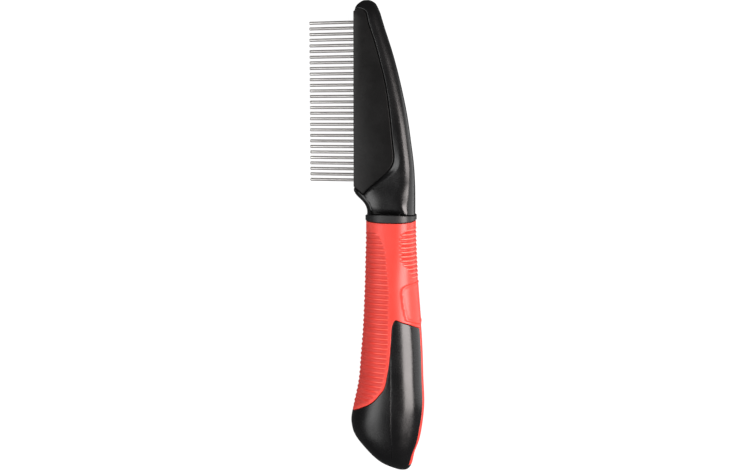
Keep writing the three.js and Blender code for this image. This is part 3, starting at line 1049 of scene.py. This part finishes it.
def cut_away(target, cutter):
    """Takes a closed shape out of a piece."""
    modifier = target.modifiers.new("cut", "BOOLEAN")
    modifier.operation = "DIFFERENCE"
    modifier.solver = "EXACT"
    modifier.use_self = True
    modifier.object = cutter
    bpy.context.view_layer.update()
    shaped = bpy.data.meshes.new_from_object(target.evaluated_get(bpy.context.evaluated_depsgraph_get()))
    target.modifiers.clear()
    target.data = shaped
    bpy.data.objects.remove(cutter)


def pin_y(i):
    return FIRST_PIN_Y + i * PIN_PITCH


def bore_cutter():
    """The bores of all the pins, and the groove that their flanges turn in."""
    work = bmesh.new()
    radius = PIN_RADIUS + BORE_CLEARANCE
    for i in range(PIN_COUNT):
        spot = place([PLATE_LEFT_X, pin_y(i), 0])
        turn = Matrix.Translation(spot) @ Matrix.Rotation(math.pi / 2, 4, "Y")
        bmesh.ops.create_cone(
            work,
            cap_ends=True,
            segments=PIN_SIDES,
            radius1=radius * MM,
            radius2=radius * MM,
            depth=BORE_LENGTH * MM,
            matrix=turn,
        )
    half = FLANGE_RADIUS + FLANGE_PLAY
    low = place([FLANGE_OUTER_X - FLANGE_PLAY, pin_y(0) - half, -half])
    high = place([FLANGE_OUTER_X + FLANGE_LENGTH + FLANGE_PLAY, pin_y(PIN_COUNT - 1) + half, half])
    size = Matrix.Diagonal((*(high - low), 1))
    bmesh.ops.create_cube(work, size=1, matrix=Matrix.Translation((low + high) / 2) @ size)
    mesh = bpy.data.meshes.new("bores")
    work.to_mesh(mesh)
    work.free()
    cutter = bpy.data.objects.new("bores", mesh)
    bpy.context.scene.collection.objects.link(cutter)
    return cutter


def make_plate(side, name, node):
    """One half of the pin block, with rounded edges. side is 1 for the front."""
    foot_z = PLATE_HALF - SEAM_DEPTH
    levels = [(-PLATE_FOOT, PLATE_INNER), (-PLATE_FOOT, foot_z), (0.0, foot_z + 0.02)]
    for k in range(ROUND_STEPS + 1):
        turn = math.pi / 2 * k / ROUND_STEPS
        levels.append((PLATE_LIP * (1 - math.cos(turn)), PLATE_HALF - PLATE_LIP * (1 - math.sin(turn))))
    rings = []
    count = len(plate_outline(0))
    for inset, z in levels:
        outline = plate_outline(inset)
        run = np.concatenate([[0], np.cumsum(np.linalg.norm(np.diff(outline, axis=0), axis=1))])
        even = np.linspace(0, run[-1], count)
        flat = np.stack([np.interp(even, run, outline[:, 0]), np.interp(even, run, outline[:, 1])], 1)
        rings.append(np.column_stack([flat, np.full(count, z * side)]))
    points = np.vstack(rings)
    faces = []
    for ring in range(len(rings) - 1):
        for i in range(count):
            after = (i + 1) % count
            low, high = ring * count, (ring + 1) * count
            faces.append((low + i, high + i, high + after, low + after))
    faces.append(tuple(range(count)))
    faces.append(tuple(reversed(range((len(rings) - 1) * count, len(rings) * count))))
    if side > 0:
        faces = [tuple(reversed(face)) for face in faces]
    # The rounded edge is lighter: partly wear, partly a painted highlight.
    worn_and_lit_edge = range(len(rings) - ROUND_STEPS - 1, len(rings) - 1)
    edge = np.concatenate([np.full(count, PLATE_WEAR_AND_HIGHLIGHT if k in worn_and_lit_edge else 0.0) for k in range(len(rings))])
    made = piece(name, points, faces, plate_plastic, node, mark=edge)
    cut_away(made, bore_cutter())
    smooth_shade(made.data)


def make_pin(i):
    """A steel pin with a rounded tip and a flange at its root."""
    tip_steps = 8
    outline = []
    for k in range(1, tip_steps + 1):
        turn = math.pi / 2 * k / tip_steps
        outline.append((PIN_TIP_X + PIN_TIP_LENGTH * (1 - math.cos(turn)), PIN_RADIUS * math.sin(turn)))
    outline += [(x, PIN_RADIUS) for x in (*PIN_RING_X, FLANGE_OUTER_X)]
    root_x = FLANGE_OUTER_X + FLANGE_LENGTH
    outline += [(FLANGE_OUTER_X, FLANGE_RADIUS - FLANGE_EDGE), (FLANGE_OUTER_X + FLANGE_EDGE, FLANGE_RADIUS)]
    outline += [(root_x - FLANGE_EDGE, FLANGE_RADIUS), (root_x, FLANGE_RADIUS - FLANGE_EDGE)]
    points = [(PIN_TIP_X, pin_y(i), 0.0)]
    for x, radius in outline:
        for k in range(PIN_SIDES):
            turn = 2 * math.pi * k / PIN_SIDES
            points.append((x, pin_y(i) + radius * math.cos(turn), radius * math.sin(turn)))
    points.append((root_x, pin_y(i), 0.0))
    faces = []
    last = len(points) - 1
    top = 1 + (len(outline) - 1) * PIN_SIDES
    for k in range(PIN_SIDES):
        after = (k + 1) % PIN_SIDES
        faces.append((0, 1 + after, 1 + k))
        for ring in range(len(outline) - 1):
            low = 1 + ring * PIN_SIDES
            faces.append((low + k, low + after, low + PIN_SIDES + after, low + PIN_SIDES + k))
        faces.append((last, top + k, top + after))
    node = f"pin_{i + 1:02d}"
    piece(f"steel_{node}", np.array(points), faces, steel, node, body=node)


# ---- camera, light and floor ----


def make_camera():
    """Above the comb, rolled a little round its length to the spine side, and nearer to the head's end."""
    roll = math.radians(CAMERA_ROLL)
    pitch = math.atan(CAMERA_AHEAD / CAMERA_DISTANCE)
    back = Vector((math.sin(roll) * math.cos(pitch), math.sin(pitch), math.cos(roll) * math.cos(pitch)))
    right = Vector((math.cos(roll), 0, -math.sin(roll)))
    up = back.cross(right)
    data = bpy.data.cameras.new("camera")
    data.sensor_fit = "HORIZONTAL"
    data.sensor_width = CAMERA_SENSOR
    data.lens = CAMERA_LENS
    data.clip_start, data.clip_end = 0.01, 20
    camera = bpy.data.objects.new("camera", data)
    turn = Matrix((right, up, back)).transposed().to_4x4()
    spot = Vector(CAMERA_TARGET) + back * CAMERA_DISTANCE
    camera.matrix_world = Matrix.Translation(Vector(place(spot))) @ turn
    bpy.context.scene.collection.objects.link(camera)
    bpy.context.scene.camera = camera


def softbox(name, angle, along, distance, width, length, strength, colour=(1, 1, 1)):
    """A soft lamp that faces the comb's middle line at a y of along, from an angle in degrees off the upright
    towards the palm side."""
    data = bpy.data.lights.new(name, "AREA")
    data.shape = "RECTANGLE"
    data.size, data.size_y = width * MM, length * MM
    data.color = colour
    data.energy = strength * math.pi * width * length * MM * MM
    lamp = bpy.data.objects.new(name, data)
    turn = math.radians(angle)
    spot = Vector((distance * math.sin(turn), along, distance * math.cos(turn)))
    lamp.matrix_world = Matrix.Translation(Vector(place(spot))) @ Matrix.Rotation(turn, 4, "Y")
    bpy.context.scene.collection.objects.link(lamp)
    return lamp


def make_world(strength):
    world = bpy.data.worlds.new("studio")
    world.use_nodes = True
    world.node_tree.nodes["Background"].inputs["Color"].default_value = (1, 1, 1, 1)
    world.node_tree.nodes["Background"].inputs["Strength"].default_value = strength
    bpy.context.scene.world = world


def make_floor():
    """A plain pale floor that glows, so that the comb's shadow on it stays faint."""
    mesh = bpy.data.meshes.new("floor")
    half = FLOOR_HALF * MM
    z = cad_low.z - FLOOR_GAP * MM
    corners = [(-half, -half, z), (half, -half, z), (half, half, z), (-half, half, z)]
    mesh.from_pydata(corners, [], [(0, 1, 2, 3)])
    floor = bpy.data.objects.new("floor", mesh)
    bpy.context.scene.collection.objects.link(floor)
    material = bpy.data.materials.new("pale_floor")
    material.use_nodes = True
    shader = material.node_tree.nodes["Principled BSDF"]
    shader.inputs["Base Color"].default_value = (FLOOR_SHADE, FLOOR_SHADE, FLOOR_SHADE, 1)
    shader.inputs["Roughness"].default_value = 1.0
    shader.inputs["Specular IOR Level"].default_value = 0.0
    shader.inputs["Emission Color"].default_value = (1, 1, 1, 1)
    shader.inputs["Emission Strength"].default_value = FLOOR_GLOW
    mesh.materials.append(material)
    floor.visible_glossy = False
    floor.visible_shadow = False


# ---- making ----

make_camera()
make_world(WORLD_GLOW)
make_floor()
softbox("palm_side_light", 45, -6, 800, width=590, length=536, strength=12.2, colour=WARM)
softbox("finger_side_light", -31.5, -30, 800, width=345, length=900, strength=1.9)
softbox("finger_side_light_middle", -29.5, 110, 790, width=190, length=640, strength=2.6)
softbox("palm_side_table", 115, 85, 500, width=740, length=430, strength=1.45)
fill = softbox("finger_side_fill", -80, 60, 700, width=500, length=700, strength=2.4)
fill.visible_glossy = False

make_grip()
make_core(-1, "core_finger_half", "handle_core_finger_side")
make_core(1, "core_palm_half", "handle_core_palm_side")
make_collar()
make_frame()
make_plate(1, "front_pin_plate", "pin_plate_front")
make_plate(-1, "rear_pin_plate", "pin_plate_rear")
for pin_index in range(PIN_COUNT):
    make_pin(pin_index)

bpy.context.scene.view_settings.view_transform = "Standard"
